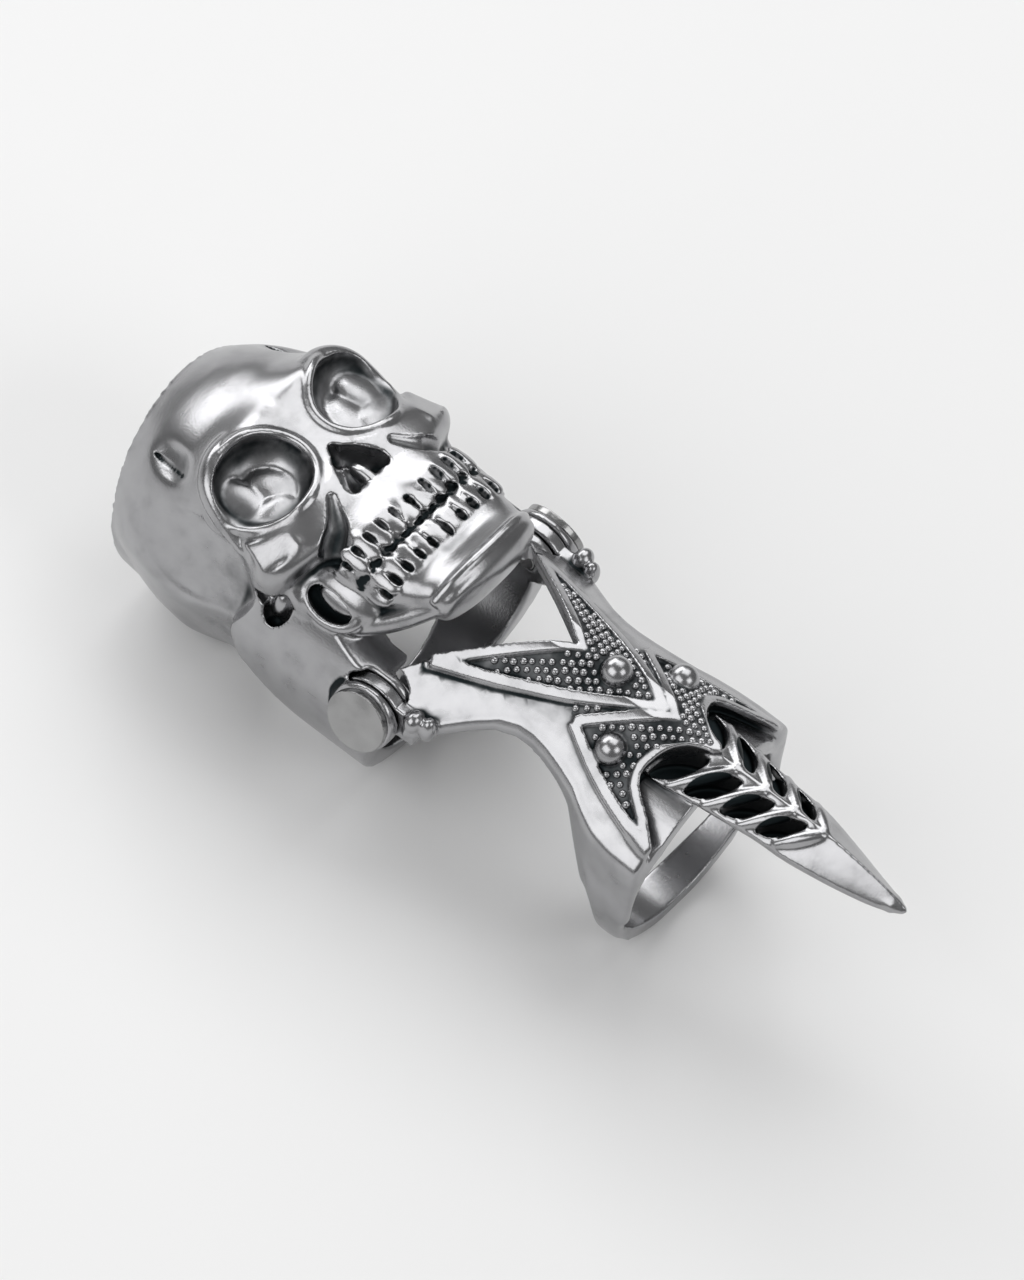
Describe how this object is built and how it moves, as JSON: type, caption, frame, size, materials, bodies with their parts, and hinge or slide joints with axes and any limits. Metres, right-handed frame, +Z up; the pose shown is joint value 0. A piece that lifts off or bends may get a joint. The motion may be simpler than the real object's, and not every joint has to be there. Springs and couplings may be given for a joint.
{
  "type": "hinged knuckle armour ring",
  "caption": "Hinged knuckle armour ring: a skull band for the finger's root and a claw plate for its tip, joined at the sides, in antiqued cast metal.",
  "frame": {"origin": "centre of the bounding box in plan, on the table plane under the finger bands", "axes": "+Y along the finger towards the claw's tip, +Z up from the back of the hand, X along the hinge"},
  "size_m": [0.0264, 0.0732, 0.0261],
  "materials": {
    "skull_metal": "antiqued cast zinc alloy, satin with dark recesses",
    "claw_metal": "antiqued cast zinc alloy, polished high points",
    "rivet_metal": "turned steel, lightly tarnished"
  },
  "bodies": {
    "skull_body": {"skull_ring": "skull_metal", "hinge_rivet_left": "rivet_metal", "hinge_rivet_right": "rivet_metal"},
    "claw_body": {"claw_ring": "claw_metal"}
  },
  "joints": [
    {"name": "knuckle_hinge", "type": "hinge", "parent": "skull_body", "child": "claw_body", "pos_m": [0, -0.0078, 0.0137], "axis": [-1, 0, 0], "range_deg": [-15, 55]}
  ]
}
